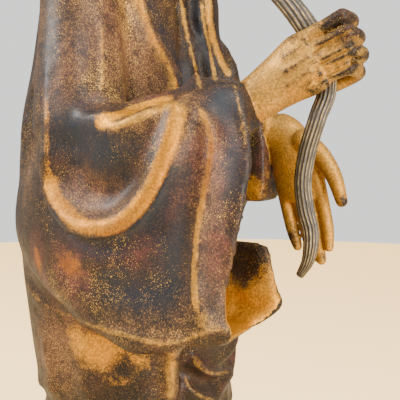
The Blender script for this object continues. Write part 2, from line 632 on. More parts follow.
CROOK_SHARES, CROOK_SUNK, CROOK_HALF_WIDTH = (0.7, 1, 0.75, 0.5, 0.25), 0.3, 2.0


def fill_u_roll(bm):
    """The thick rolled U under the elbow, half sunk in the cloth."""
    roll(bm, surface, "visitor", U_ROLL, U_ROLL_SHARES, U_FOLD_HALF_WIDTH, U_FOLD_FLATNESS, -U_ROLL_SUNK)


def fill_crook(bm):
    """The room of the deep crease in the crook, to be cut out."""
    roll(bm, surface, "visitor", CROOK, CROOK_SHARES, CROOK_HALF_WIDTH, proud=-CROOK_SUNK)


surface = tree_of(robe)
add_forms(robe, fill_u_roll)
unite(robe, ROBE_GRAIN, 2)
draw(robe, SLEEVE_FOLDS + FRONT_FOLDS + LEFT_FOLDS + BACK_FOLDS + SKIRT_FOLDS)
surface = tree_of(robe)
crook = form_object("crook", fill_crook)
unite(robe, ROBE_GRAIN, 0)
combine(robe, crook, "DIFFERENCE")
unite(robe, ROBE_GRAIN, 2)
print("robe with folds:", count(robe), "triangles")

# %% [markdown]
# ## Hands
#
# The right fist closes round the eyebrow, with the back of the hand to the figure's right and
# four fingers side by side. The left hand hangs open, palm inwards. Fingers are tubes whose
# stations are their joints, and the grid is finer here, because a finger is only about 4 mm thick.

# %% Forms of the hands
def fill_right_hand(bm):
    """Wrist and back of the hand, four bent fingers, and the thumb."""
    limb(bm, [(-24, -49, 190.5, 6.0, 5.6), (-22.5, -56, 195, 6.0, 5.0), (-21, -62.5, 199.6, 7.0, 4.6),
              (-21, -68, 203, 8.2, 4.2), (-20.5, -71.6, 205, 7.8, 3.8)], side=(0, 0.48, 0.86), sides=28)
    knuckles = [((-20.5, -69.4, 210.2), (-19.5, -77.6, 214.8)),
                ((-21.8, -70.2, 206.4), (-20.8, -79.4, 210.8)),
                ((-21.8, -70.8, 202.6), (-20.8, -80.4, 206.6)),
                ((-20.6, -70.6, 198.9), (-19.8, -79.6, 202.4))]
    r = FINGER_RADIUS
    for root, bend in knuckles:
        limb(bm, [(*root, r * 1.12, r * 1.12), ((root[0] + bend[0]) / 2 - 0.3, (root[1] + bend[1]) / 2,
                  (root[2] + bend[2]) / 2, r * 0.94, r * 0.94), (*bend, r, r)], sides=16)
        limb(bm, [(*bend, r, r), (-13.5, bend[1] - 0.4, bend[2] - 0.8, r, r),
                  (-11, bend[1] + 3.5, bend[2] - 2.6, r * 0.95, r * 0.95),
                  (-12, bend[1] + 8.5, bend[2] - 5, r * 0.85, r * 0.85)], sides=16)
    limb(bm, [(-18, -62, 202, 3.2, 3.2), (-13.5, -66.5, 208.5, 2.8, 2.8), (-11, -72, 211.6, 2.4, 2.4),
              (-10.4, -76.4, 212.6, 2.0, 2.0)], sides=16)


def fill_left_hand(bm):
    """Wrist and palm, four hanging fingers, and the thumb."""
    limb(bm, [(25, -35, 187, 6.2, 5.2), (24.8, -40, 186, 6.4, 4.9), (24.4, -44.5, 183, 6.9, 4.6),
              (23.7, -48, 175.5, 8.1, 4.0), (23.5, -49.6, 169, 8.2, 3.2), (23.4, -50.4, 164.5, 7.0, 2.4)],
         side=(0, 1, 0.25), sides=32)
    fingers = [((23.8, -42.6, 173), (24.4, -44.6, 162), (24.4, -46.6, 154.5), (23.2, -48.8, 149.8), 2.1),
               ((23.4, -46.6, 172), (24.2, -49.4, 162), (23.8, -52, 153.5), (22.2, -54.6, 147), 2.2),
               ((23.4, -50.6, 172), (24.2, -53, 162), (23.8, -55, 153.5), (21.8, -57.4, 146.4), 2.2),
               ((23.2, -54.6, 172.5), (24, -56.8, 163.5), (23.6, -58.6, 156), (21.8, -59.8, 150.6), 2.1)]
    for root, middle, end, tip, r in fingers:
        limb(bm, [(*root, r * 1.25, r * 1.25), (*middle, r * 1.02, r * 1.02), (*end, r * 0.96, r * 0.96),
                  (*tip, r * 0.74, r * 0.74)], sides=16)
    limb(bm, [(22.8, -50, 183, 3.8, 3.6), (21.6, -56.5, 179, 3.1, 3.0), (20.6, -61.4, 172.6, 2.6, 2.5),
              (20.2, -64.2, 165.2, 1.9, 1.9)], sides=16)


FINGER_GAP = [(306, 56), (322, 47), (341, 37), (357, 27)]
KNUCKLE_CORD = [(280, 74), (296, 64), (310, 55)]
FINGER_GROOVES = (
    folds("visitor", *((-0.95, 0.55, moved(FINGER_GAP, a, b)) for a, b in ((0, 0), (3, 15), (5, 29))))
    + folds("visitor", *((0.3, 0.9, moved(KNUCKLE_CORD, a, b)) for a, b in ((0, -14), (2, 0), (4, 14)))))

right_hand = form_object("right_hand", fill_right_hand)
unite(right_hand, HAND_GRAIN, 3)
draw(right_hand, FINGER_GROOVES)
left_hand = form_object("left_hand", fill_left_hand)
unite(left_hand, HAND_GRAIN, 6)
print("hands:", count(right_hand), count(left_hand), "triangles")


# %% [markdown]
# ## Head and face
#
# The head is bald, with long ear lobes, and the face is calm and plain, on the usual canon: eyes
# at half the head's height, the space of one eye between them, the mouth a fifth up from the
# chin. Round forms make the skull, brow, cheeks and lips, and drawn strokes cut the lids.

# %% Forms of the head
def share_z(share):
    """Height at a share of the head, from chin to crown."""
    return CHIN_Z + share * (CROWN_Z - CHIN_Z)


# An ear and its rim: distance out, place behind the head's middle, share of height, two half-sizes.
EAR = [(16.0, 1.4, 0.6, 3.4, 1.9), (16.6, 1.6, 0.5, 4.0, 1.9), (16.2, 0.8, 0.36, 3.2, 2.0),
       (15.8, -0.2, 0.22, 2.8, 2.0), (15.2, -0.6, 0.11, 2.8, 2.1)]
EAR_RIM = [(17.2, -2.6, 0.5, 0.8, 0.8), (18.0, -1.8, 0.59, 1.0, 1.0), (18.2, 1.6, 0.63, 1.1, 1.1),
           (18.3, 4.8, 0.56, 1.1, 1.1), (18.1, 4.6, 0.44, 1.1, 1.1), (17.6, 2.8, 0.33, 1.0, 1.0),
           (17.2, 1.4, 0.24, 0.8, 0.8)]
# The line between the lips, those above and below them, and two on the forehead. Then one side's
# eye socket, lids, nostril and cheek.
FACE_LINES = [(-0.7, 0.55, [(-5.4, 0.197), (-2.2, 0.203), (0, 0.196), (2.2, 0.203), (5.4, 0.197)]),
              (-0.35, 0.6, [(0, 0.29), (0, 0.245)]), (-0.5, 1.0, [(-3, 0.128), (0, 0.122), (3, 0.128)]),
              (-0.3, 0.8, [(-8, 0.72), (0, 0.73), (8, 0.72)]),
              (-0.25, 0.8, [(-7, 0.77), (0, 0.782), (7, 0.77)])]
PAIRED_FACE_LINES = [(-0.9, 1.1, [(3.0, 0.49), (4.6, 0.525), (7.6, 0.535), (11, 0.515)]),
                     (-0.75, 0.42, [(3.4, 0.468), (6.6, 0.458), (10.2, 0.472)]),
                     (0.4, 0.5, [(3.6, 0.485), (6.8, 0.492), (10.4, 0.482)]),
                     (-0.4, 0.8, [(3.6, 0.44), (6.8, 0.42), (10.4, 0.44)]),
                     (-0.7, 0.6, [(1.4, 0.285), (2.6, 0.285)]),
                     (-0.45, 0.9, [(4.2, 0.34), (6.2, 0.27), (7.4, 0.2)])]


def fill_head(bm):
    """Skull, crown, face, jaw, chin, nose and lips; then brow, eye, cheek, nostril and ear in pairs."""
    half, tall = HEAD_HALF_WIDTH, CROWN_Z - CHIN_Z
    pebble(bm, (0, HEAD_Y, share_z(0.58)), (half, 1.25 * half, 0.41 * tall), fine=40)
    pebble(bm, (0, HEAD_Y + 2, share_z(0.67)), (0.94 * half, 1.12 * half, 0.33 * tall), fine=40)
    pebble(bm, (0, HEAD_Y - 5, share_z(0.42)), (0.86 * half, 0.98 * half, 0.37 * tall), fine=36)
    pebble(bm, (0, HEAD_Y - 9.5, share_z(0.17)), (0.58 * half, 0.6 * half, 0.17 * tall), fine=30)
    pebble(bm, (0, FACE_Y + 3.4, share_z(0.075)), (4.4, 3.4, 3.0))
    limb(bm, [(0, FACE_Y + 1, share_z(0.52), 1.5, 1.4), (0, FACE_Y - 0.6, share_z(0.44), 1.5, 1.7),
              (0, FACE_Y - 2.2, share_z(0.36), 1.9, 2.0), (0, FACE_Y - 2.8, share_z(0.315), 2.2, 1.8)],
         side=(1, 0, 0))
    limb(bm, [(-4.6, FACE_Y + 1.4, share_z(0.212), 0.9, 1.0), (-1.6, FACE_Y - 0.3, share_z(0.222), 1.3, 1.5),
              (1.6, FACE_Y - 0.3, share_z(0.222), 1.3, 1.5), (4.6, FACE_Y + 1.4, share_z(0.212), 0.9, 1.0)],
         side=(0, 0, 1))
    limb(bm, [(-4.0, FACE_Y + 1.6, share_z(0.18), 0.9, 1.0), (0, FACE_Y + 0.2, share_z(0.165), 1.7, 1.7),
              (4.0, FACE_Y + 1.6, share_z(0.18), 0.9, 1.0)], side=(0, 0, 1))
    for s in (-1, 1):
        pebble(bm, (s * 7.6, FACE_Y + 3.6, share_z(0.555)), (6.8, 3.0, 2.4), turn=(0, s * 8, s * 16))
        pebble(bm, (s * 6.9, FACE_Y + 4.9, share_z(0.485)), (4.0, 3.4, 3.0))
        pebble(bm, (s * 8.8, FACE_Y + 6.0, share_z(0.34)), (5.4, 4.6, 5.2))
        pebble(bm, (s * 2.5, FACE_Y - 0.6, share_z(0.315)), (1.5, 1.9, 1.5))
        for stations, sides in ((EAR, 20), (EAR_RIM, 14)):
            limb(bm, [(s * out, HEAD_Y + back, share_z(share), a, b) for out, back, share, a, b in stations],
                 sides=sides)


def face_strokes():
    """The drawn lines of the face, seen from the front: height, width, points across and up in shares."""
    drawn = list(FACE_LINES)
    for s in (-1, 1):
        drawn += [(height, width, [(s * x, share) for x, share in points])
                  for height, width, points in PAIRED_FACE_LINES]
    return folds("front", *((height, width, [(x, share_z(share)) for x, share in points])
                            for height, width, points in drawn))


head = form_object("head", fill_head)
unite(head, HEAD_GRAIN, 4)
draw(head, face_strokes())
print("head:", count(head), "triangles")


# %% [markdown]
# ## The long eyebrows
#
# Each eyebrow is one flat lock of hair. Its section is an oval with grooves cut round it, like a
# bundle of cords, and the grooves run unbroken from brow to tip. A remesh would erase them, so
# the lock is skinned directly, with many points round each ring.

# %% Grooved locks of hair
LOCK_SIDES, LOCK_STEPS = 56, 8
LOCK_GROOVES, GROOVE_DEPTH = 14, 0.34
WANDER, WANDER_PACE = 0.5, 0.21
LEAST_HALF_SIZE = 0.2


def grooved_lock(bm, stations, side):
    """Flat lock along a path, its section waved by grooves that slowly wander."""
    rings = []
    for k, (row, here, across, other) in enumerate(frames(spline(stations, LOCK_STEPS), side)):
        ring = []
        for i in range(LOCK_SIDES):
            turn = 2 * math.pi * i / LOCK_SIDES
            wave = math.cos(LOCK_GROOVES * turn + WANDER * math.sin(WANDER_PACE * k))
            depth = GROOVE_DEPTH * min(1.0, row[3] / 2) * (1 - wave) / 2
            wide, thick = max(LEAST_HALF_SIZE, row[3] - depth), max(LEAST_HALF_SIZE, row[4] - depth)
            ring.append(here + across * wide * math.cos(turn) + other * thick * math.sin(turn))
        rings.append(ring)
    skin(bm, rings)


def over_the_brow(s):
    """First stations of the lock on side s: (x, y, z, half-width, half-thickness) as shares of full size."""
    return [(s * 3.6, -29, 298, 0.4, 0.8), (s * 8, -29.6, 299, 0.6, 1), (s * 12.6, -28.8, 297.6, 0.75, 1),
            (s * 16, -28.6, 291, 0.85, 1)]


EYEBROW_RIGHT = over_the_brow(-1) + [
    (-17.4, -32, 281, 0.9, 1), (-17, -37, 268, 0.95, 1), (-16.6, -42, 252, 1, 1), (-17.5, -49, 236, 1, 1),
    (-18, -58, 224.5, 1, 1), (-17.4, -66, 215, 1, 1), (-15.2, -71, 206, 0.9, 1), (-16.4, -72.8, 197, 0.8, 1),
    (-18, -71.2, 190.5, 0.76, 1), (-18, -68.6, 182, 0.76, 1), (-18, -67.4, 174, 0.74, 1),
    (-18, -68.2, 167, 0.74, 1), (-18, -69.8, 160.5, 0.7, 1), (-18, -69.2, 154, 0.56, 0.9),
    (-18, -66.8, 149.4, 0.34, 0.7)]
EYEBROW_LEFT = over_the_brow(1) + [
    (17.6, -29.4, 280, 0.9, 1), (17.4, -27.6, 268, 0.95, 1), (17.2, -24.6, 257, 1, 1),
    (16.8, -22.6, 248, 0.9, 1), (16.2, -22.8, 240, 0.7, 1), (15.4, -24, 233, 0.35, 0.8)]


def eyebrow(name, stations, side):
    """One grooved lock of hair as an object of its own."""
    wide, thick = EYEBROW_WIDTH / 2, EYEBROW_THICK / 2
    sized = [(x, y, z, wide * a, thick * b) for x, y, z, a, b in stations]
    return form_object(name, lambda bm: grooved_lock(bm, sized, side))


locks = [eyebrow("eyebrow_right", EYEBROW_RIGHT, (0.5, -0.87, 0)),
         eyebrow("eyebrow_left", EYEBROW_LEFT, (1, 0, 0))]
print("eyebrows:", [count(lock) for lock in locks], "triangles")

# %% [markdown]
# ## Materials: lacquer, leaf and dust
#
# The surface is dark lacquer over bronze, once gilded all over. The leaf is left in the hollows
# and on the thick rolls, and elsewhere it is worn to dust. Each of these is one node group, so
# that robe, skin and plinth share them. A group gives only a colour, a mask or a height, and the
# Principled shader stays in the material.

# %% Small helpers for node trees
def node(tree, kind, inputs=None, **settings):
    """One node, its sockets set to a value or linked from another node's socket."""
    made = tree.nodes.new(kind)
    for key, value in settings.items():
        setattr(made, key, value)
    for key, value in (inputs or {}).items():
        if isinstance(value, bpy.types.NodeSocket):
            tree.links.new(value, made.inputs[key])
        else:
            made.inputs[key].default_value = value
    return made


def maths(tree, operation, a, b=0.0, clamp=False):
    """Result of a sum on two values or sockets."""
    return node(tree, "ShaderNodeMath", {0: a, 1: b}, operation=operation, use_clamp=clamp).outputs[0]


def times(tree, a, b, clamp=False):
    return maths(tree, "MULTIPLY", a, b, clamp)


def plus(tree, a, b, clamp=False):
    return maths(tree, "ADD", a, b, clamp)


def noise_at(tree, spot, scale, detail=4.0, roughness=0.6):
    """Cloudy value between 0 and 1; the scale is the number of clouds in a metre, about."""
    return node(tree, "ShaderNodeTexNoise", {"Vector": spot, "Scale": scale, "Detail": detail,
                                             "Roughness": roughness}).outputs["Fac"]


def between(tree, value, low, high, to_low=0.0, to_high=1.0):
    """Value brought from one range to another, with soft ends."""
    return node(tree, "ShaderNodeMapRange", {0: value, 1: low, 2: high, 3: to_low, 4: to_high},
                interpolation_type="SMOOTHSTEP").outputs[0]


def blend(tree, share, a, b):
    """Colour between two colours."""
    return node(tree, "ShaderNodeMix", {0: share, 6: a, 7: b}, data_type="RGBA").outputs[2]


def group(name, inputs, outputs):
    """Empty node group with named sockets, and its two end nodes."""
    tree = bpy.data.node_groups.new(name, "ShaderNodeTree")
    for sockets, way in ((inputs, "INPUT"), (outputs, "OUTPUT")):
        for label, kind in sockets:
            tree.interface.new_socket(label, in_out=way, socket_type=kind)
    return tree, node(tree, "NodeGroupInput").outputs, node(tree, "NodeGroupOutput").inputs


def use(tree, shared, inputs):
    """A shared group placed in a material."""
    return node(tree, "ShaderNodeGroup", inputs, node_tree=shared).outputs


VECTOR, NUMBER, COLOUR = "NodeSocketVector", "NodeSocketFloat", "NodeSocketColor"

# %% Leaf that is left, and gold dust
LEAF, given, result = group("leaf_left", [("Spot", VECTOR), ("Amount", NUMBER)], [("Mask", NUMBER)])
spot = given["Spot"]
clouds = noise_at(LEAF, spot, 150, 5, 0.6)
scuffs = noise_at(LEAF, spot, 520, 5, 0.7)
grit = noise_at(LEAF, spot, 2400, 3, 0.7)
worn = plus(LEAF, times(LEAF, clouds, 0.7), times(LEAF, scuffs, 0.9))
worn = plus(LEAF, worn, times(LEAF, grit, 0.9))
level = plus(LEAF, times(LEAF, given["Amount"], 1.35), worn)
LEAF.links.new(between(LEAF, level, 1.72, 2.28), result["Mask"])

DUST, given, result = group("gold_dust", [("Spot", VECTOR), ("Amount", NUMBER)], [("Mask", NUMBER)])
spot = given["Spot"]
clouds = noise_at(DUST, spot, 75, 6, 0.7)
specks = noise_at(DUST, spot, 3600, 2, 0.5)
flakes = noise_at(DUST, spot, 1100, 5, 0.8)
near = plus(DUST, between(DUST, clouds, 0.40, 0.66, -0.04, 0.09), times(DUST, given["Amount"], 0.13))
fine = between(DUST, plus(DUST, specks, near), 0.71, 0.80, 0, 0.8)
large = between(DUST, plus(DUST, flakes, near), 0.775, 0.83)
DUST.links.new(maths(DUST, "MAXIMUM", fine, large), result["Mask"])

# %% Colours of lacquer and gold
BLACK_LACQUER, RED_LACQUER = (0.0085, 0.0062, 0.0058, 1), (0.105, 0.028, 0.024, 1)
BROWN_FILM, SLATE_BLUE = (0.130, 0.062, 0.026, 1), (0.0120, 0.0165, 0.0240, 1)
GOLD_POWDER, GOLD_FLAKE = (0.44, 0.225, 0.060, 1), (0.95, 0.55, 0.10, 1)
PALE_GOLD, WARM_GOLD, RED_GROUND = (0.48, 0.255, 0.050, 1), (0.76, 0.315, 0.010, 1), (0.26, 0.055, 0.022, 1)
WORN_GRIT, OLD_GRIME = (0.095, 0.042, 0.012, 1), (0.075, 0.028, 0.008, 1)

LACQUER, given, result = group("lacquer_tone", [("Spot", VECTOR), ("Red", NUMBER), ("Slate", NUMBER),
                                                ("Film", NUMBER)], [("Color", COLOUR)])
spot = given["Spot"]
clouds = noise_at(LACQUER, spot, 42, 6, 0.62)
mottles = noise_at(LACQUER, spot, 240, 5, 0.7)
grains = noise_at(LACQUER, spot, 2300, 3, 0.8)
pores = noise_at(LACQUER, spot, 1700, 3, 0.7)
rust = plus(LACQUER, times(LACQUER, given["Red"], 0.65), between(LACQUER, clouds, 0.48, 0.68, 0, 0.4))
rust = times(LACQUER, rust, between(LACQUER, mottles, 0.32, 0.62, 0.3, 1.2))
rust = times(LACQUER, rust, between(LACQUER, pores, 0.38, 0.62, 0.35, 1.6), clamp=True)
tone = blend(LACQUER, rust, BLACK_LACQUER, RED_LACQUER)
film = times(LACQUER, given["Film"], between(LACQUER, mottles, 0.36, 0.60, 0.2, 1.0))
tone = blend(LACQUER, times(LACQUER, film, 0.6), tone, BROWN_FILM)
tone = blend(LACQUER, times(LACQUER, given["Slate"], 0.95), tone, SLATE_BLUE)
bare = maths(LACQUER, "SUBTRACT", 1.0, times(LACQUER, given["Slate"], 0.85))
held = times(LACQUER, bare, plus(LACQUER, times(LACQUER, film, 0.8), 0.14))
powder = times(LACQUER, between(LACQUER, grains, 0.50, 0.64), held, clamp=True)
tone = blend(LACQUER, powder, tone, GOLD_POWDER)
LACQUER.links.new(tone, result["Color"])

GOLD, given, result = group("gold_tone", [("Spot", VECTOR), ("Warmth", NUMBER), ("Hollow", NUMBER),
                                          ("Red", NUMBER)], [("Color", COLOUR)])
spot = given["Spot"]
clouds = noise_at(GOLD, spot, 130, 5, 0.65)
grains = noise_at(GOLD, spot, 1500, 4, 0.75)
warm = plus(GOLD, given["Warmth"], between(GOLD, clouds, 0.35, 0.65, -0.25, 0.25), clamp=True)
tone = blend(GOLD, warm, PALE_GOLD, WARM_GOLD)
tone = blend(GOLD, times(GOLD, given["Red"], 0.8), tone, RED_GROUND)
tone = blend(GOLD, between(GOLD, grains, 0.40, 0.62, 0.55, 0), tone, WORN_GRIT)
tone = blend(GOLD, times(GOLD, given["Hollow"], 0.55), tone, OLD_GRIME)
GOLD.links.new(tone, result["Color"])

# %% Relief of the old surface
RELIEF, given, result = group("old_relief", [("Spot", VECTOR), ("Gold", NUMBER)], [("Height", NUMBER)])
cast_skin = noise_at(RELIEF, given["Spot"], 170, 4, 0.55)
grit = noise_at(RELIEF, given["Spot"], 1700, 3, 0.7)
height = plus(RELIEF, times(RELIEF, cast_skin, 0.9), times(RELIEF, grit, 0.28))
RELIEF.links.new(plus(RELIEF, height, times(RELIEF, given["Gold"], 0.12)), result["Height"])
print("shared groups:", [g.name for g in bpy.data.node_groups])


# %% Robe, skin and plinth finishes
def painted(tree, name):
    """A value that the maker laid on the surface, point by point."""
    return node(tree, "ShaderNodeAttribute", attribute_name=name).outputs["Fac"]


RIM_BELOW_TOP, RIM_SHARES, RIM_GOLD = (0.0022, 0.0008), (0.88, 0.97), 0.6


def rubbed_rim(tree, spot, low, high):
    """Mask of the upper edge of an oval plinth, given its box."""
    place = node(tree, "ShaderNodeSeparateXYZ", {0: spot}).outputs
    middle, half = (low + high) / 2, (high - low) / 2
    across = maths(tree, "DIVIDE", maths(tree, "SUBTRACT", place["X"], middle.x), half.x)
    along = maths(tree, "DIVIDE", maths(tree, "SUBTRACT", place["Y"], middle.y), half.y)
    away = plus(tree, times(tree, across, across), times(tree, along, along))
    near_top = between(tree, place["Z"], *(high.z - below for below in RIM_BELOW_TOP))
    return times(tree, between(tree, away, *RIM_SHARES), near_top)


MARKS = ("gilding", "warmth", "red", "slate", "hollow", "dusting", "film")
FLAKE_COVER, LEAF_METAL, FLAKE_METAL = 0.9, 0.7, 0.9
BUMP_STRENGTH, BUMP_HEIGHT = 0.55, 0.00028
COAT, COAT_LOST_ON_LEAF, COAT_ROUGHNESS, SPECULAR = 0.08, 0.075, 0.25, 0.15


def gilt_lacquer(name, least_gold, dust, plain=False):
    """Dark lacquer with worn gilding; a plain piece has no painted marks of its own."""
    material = bpy.data.materials.new(name)
    material.use_nodes = True
    tree = material.node_tree
    shader = tree.nodes["Principled BSDF"].inputs
    spot = node(tree, "ShaderNodeTexCoord").outputs["Object"]
    marks = {mark: 0.0 if plain else painted(tree, mark) for mark in MARKS}
    if plain:
        marks["gilding"] = times(tree, rubbed_rim(tree, spot, base_low, base_high), RIM_GOLD)
    amount = maths(tree, "MAXIMUM", marks["gilding"], least_gold)
    leaf = use(tree, LEAF, {"Spot": spot, "Amount": amount})["Mask"]
    flakes = use(tree, DUST, {"Spot": spot, "Amount": plus(tree, marks["dusting"], dust)})["Mask"]
    dark = use(tree, LACQUER, {"Spot": spot, "Red": marks["red"], "Slate": marks["slate"],
                               "Film": marks["film"]})["Color"]
    gold = use(tree, GOLD, {"Spot": spot, "Warmth": marks["warmth"], "Hollow": marks["hollow"],
                            "Red": marks["red"]})["Color"]
    colour = blend(tree, times(tree, flakes, FLAKE_COVER), blend(tree, leaf, dark, gold), GOLD_FLAKE)
    metal = maths(tree, "MAXIMUM", times(tree, leaf, LEAF_METAL), times(tree, flakes, FLAKE_METAL))
    rough = between(tree, noise_at(tree, spot, 320, 4, 0.6), 0.3, 0.7, 0.43, 0.60)
    rough = plus(tree, rough, times(tree, leaf, 0.05))
    height = use(tree, RELIEF, {"Spot": spot, "Gold": leaf})["Height"]
    bump = node(tree, "ShaderNodeBump", {"Height": height, "Strength": BUMP_STRENGTH,
                                         "Distance": BUMP_HEIGHT}).outputs["Normal"]
    coat = maths(tree, "SUBTRACT", COAT, times(tree, leaf, COAT_LOST_ON_LEAF))
    for socket, value in (("Base Color", colour), ("Metallic", metal), ("Roughness", rough),
                          ("Normal", bump), ("Coat Weight", coat)):
        tree.links.new(value, shader[socket])
    shader["Coat Roughness"].default_value = COAT_ROUGHNESS
    shader["Specular IOR Level"].default_value = SPECULAR
    return material


robe_finish = gilt_lacquer("robe_gilt_lacquer", 0.0, 0.15)
skin_finish = gilt_lacquer("skin_gilt", 0.0, 0.35)
plinth_finish = gilt_lacquer("plinth_lacquer", 0.12, 0.1, plain=True)

# %% Eyebrow hair
HAIR_DARK, HAIR_BROWN, HAIR_RUBBED = (0.006, 0.005, 0.004, 1), (0.034, 0.024, 0.014, 1), (0.42, 0.29, 0.13, 1)
hair_finish = bpy.data.materials.new("eyebrow_lacquer")
hair_finish.use_nodes = True
tree = hair_finish.node_tree
shader = tree.nodes["Principled BSDF"].inputs
spot = node(tree, "ShaderNodeTexCoord").outputs["Object"]
wear = between(tree, noise_at(tree, spot, 420, 5, 0.75), 0.36, 0.66, 0.1, 0.85)
rubbed = times(tree, between(tree, painted(tree, "strand"), 0.55, 1.0), wear)
dark = blend(tree, noise_at(tree, spot, 500, 4, 0.7), HAIR_DARK, HAIR_BROWN)
rough = between(tree, noise_at(tree, spot, 700, 3, 0.6), 0.3, 0.7, 0.34, 0.55)
bump = node(tree, "ShaderNodeBump", {"Height": noise_at(tree, spot, 900, 3, 0.6), "Strength": 0.4,
                                     "Distance": 0.00015}).outputs["Normal"]
for socket, value in (("Base Color", blend(tree, rubbed, dark, HAIR_RUBBED)), ("Roughness", rough),
                      ("Metallic", times(tree, rubbed, 0.5)), ("Normal", bump)):
    tree.links.new(value, shader[socket])
FINISHES = [robe_finish, skin_finish, hair_finish]
ROBE, SKIN, HAIR = 0, 1, 2


def finish_with(made, finish):
    """The casting's three finishes on an object, and one of them on all its faces."""
    made.data.materials.clear()
    for material in FINISHES:
        made.data.materials.append(material)
    made.data.polygons.foreach_set("material_index", [finish] * len(made.data.polygons))


# %% [markdown]
# ## One casting
#
# On the real object nothing is assembled: it left the mould in one piece. So the parts become one
# closed skin by exact union, after each has been thinned out where it is smooth. Every part gets
# its finish before the union, and its faces keep it.

# %% Union of the casting
ROBE_TRIANGLES, HAND_TRIANGLES, HEAD_TRIANGLES = 112000, 14000, 26000
thin_out(robe, ROBE_TRIANGLES)
finish_with(robe, ROBE)
for made, most in ((right_hand, HAND_TRIANGLES), (left_hand, HAND_TRIANGLES), (head, HEAD_TRIANGLES)):
    thin_out(made, most)
    finish_with(made, SKIN)
for lock in locks:
    finish_with(lock, HAIR)
for made in (head, right_hand, left_hand, *locks):
    combine(robe, made, "UNION")
casting = robe
print("one casting:", count(casting), "triangles,", len(casting.data.materials), "finishes")

# %% [markdown]
# ## Where the gold is left
#
# A maker would paint this by hand, so it is painted here too, on the points of the mesh. Lines
# follow the folds that were drawn before, patches are soft ovals, and two more values come from
# the shape itself: how far a point lies in a hollow, and how far it is sheltered by its
# surroundings. Wear leaves leaf in the hollows and dust on the open cloth.

# %% Values from the shape
points, normals = mesh_arrays(casting)
ends = np.empty(len(casting.data.edges) * 2, dtype=int)
casting.data.edges.foreach_get("vertices", ends)
ends = ends.reshape(-1, 2)
touching = np.bincount(ends.ravel(), minlength=len(points)).clip(1)
FINE_ROUNDS, FINE_HEIGHT = 8, 0.35
BROAD_ROUNDS, BROAD_HEIGHT = 40, 1.2
FINE_SHARE, BROAD_SHARE = 0.6, 0.4
CLEAR_OF_SURFACE, LEAST_OUTWARD, SHELTER_REACH = 0.4, 0.35, 14


def spread(values, rounds):
    """Even out a value over neighbouring points."""
    for _ in range(rounds):
        mixed = np.bincount(ends[:, 0], values[ends[:, 1]], len(points))
        mixed += np.bincount(ends[:, 1], values[ends[:, 0]], len(points))
        values = 0.5 * values + 0.5 * mixed / touching
    return values


def relief(rounds):
    """Height of each point over its evened-out surroundings, in parts."""
    flat = np.stack([spread(points[:, k], rounds) for k in range(3)], axis=1)
    return np.einsum("ij,ij->i", points - flat, normals)


def sheltered(reach):
    """Share of the lines outwards from each point that soon meet the casting again."""
    tree = tree_of(casting)
    steps = (-1, 0, 1)
    directions = [Vector((x, y, z)).normalized() for x in steps for y in steps for z in steps if x or y or z]
    shares = np.zeros(len(points))
    for k in range(len(points)):
        normal = Vector(normals[k])
        start = Vector(points[k]) + normal * CLEAR_OF_SURFACE
        ways = [way for way in directions if way.dot(normal) > LEAST_OUTWARD]
        met = sum(tree.ray_cast(start, way, reach)[0] is not None for way in ways)
        shares[k] = met / max(1, len(ways))
    return spread(shares, 4)


fine, broad = relief(FINE_ROUNDS) / FINE_HEIGHT, relief(BROAD_ROUNDS) / BROAD_HEIGHT
crest = np.clip(fine, 0, 1)
hollow = FINE_SHARE * np.clip(-fine, 0, 1) + BROAD_SHARE * np.clip(-broad, 0, 1)
shelter = sheltered(SHELTER_REACH)
print("sheltered points:", round(float((shelter > 0.5).mean()), 3))


# %% Brushes
surface = tree_of(casting)
BRUSH_REACH, BRUSH_FADE = 2.5, 0.07


def brush_line(values, strength, width, drawn):
    """A soft line of value along a curve that the visitor sees."""
    path = lay(surface, "visitor", drawn)
    if len(path) > 1:
        at, gap, share, side = near_path(points, normals, path, BRUSH_REACH * width)
        fade = np.clip(np.minimum(share, 1 - share) / BRUSH_FADE, 0, 1)
        values[at] = np.maximum(values[at], strength * fade * np.exp(-(gap / width) ** 2))


def brush_patch(values, strength, size, spot):
    """A soft oval of value round a point that the visitor sees; size is half its width and height."""
    place = lay(surface, "visitor", [spot, spot], steps=1)
    if place:
        away = points - place[0]
        far = (away[:, 0] ** 2 + away[:, 1] ** 2) / size[0] ** 2 + away[:, 2] ** 2 / size[1] ** 2
        np.maximum(values, strength * np.exp(-far), out=values)


def brushed(lines=(), patches=()):
    """A value on all points, from lines (strength, width, curve) and patches (strength, size, spot)."""
    values = np.zeros(len(points))
    for line in lines:
        brush_line(values, *line)
    for patch in patches:
        brush_patch(values, *patch)
    return values


# %% Areas of the casting
MOUTH_MIDDLE, MOUTH_HALF_SIZE = np.array((-20, -50, 152)), (17, 17, 24)
MOUTH_GOLD_Z, MOUTH_GOLD_DEPTH, FACING_THE_MIDDLE = 152, 14, 1
NECK_RADIUS, NECK_Y, NECK_Z, HEAD_SKIN_Z = 13.4, -3, 250, CHIN_Z - 20
inside_mouth = (np.abs(points - MOUTH_MIDDLE) < MOUTH_HALF_SIZE).all(axis=1) \
    & (np.einsum("ij,ij->i", MOUTH_MIDDLE - points, normals) > FACING_THE_MIDDLE)
low_in_mouth = np.clip((MOUTH_GOLD_Z - points[:, 2]) / MOUTH_GOLD_DEPTH, 0, 1)
skin_points = np.zeros(len(points), dtype=bool)
for face in casting.data.polygons:
    if face.material_index == SKIN:
        skin_points[list(face.vertices)] = True
left_hand_area, right_hand_area = skin_points & (points[:, 0] > 0), skin_points & (points[:, 0] < 0)
neck = (np.hypot(points[:, 0], points[:, 1] - NECK_Y) < NECK_RADIUS) & (points[:, 2] > NECK_Z)
head_area = skin_points & (points[:, 2] > HEAD_SKIN_Z) | neck
print("points on skin:", int(skin_points.sum()), "and in the mouth of the sleeve:", int(inside_mouth.sum()))

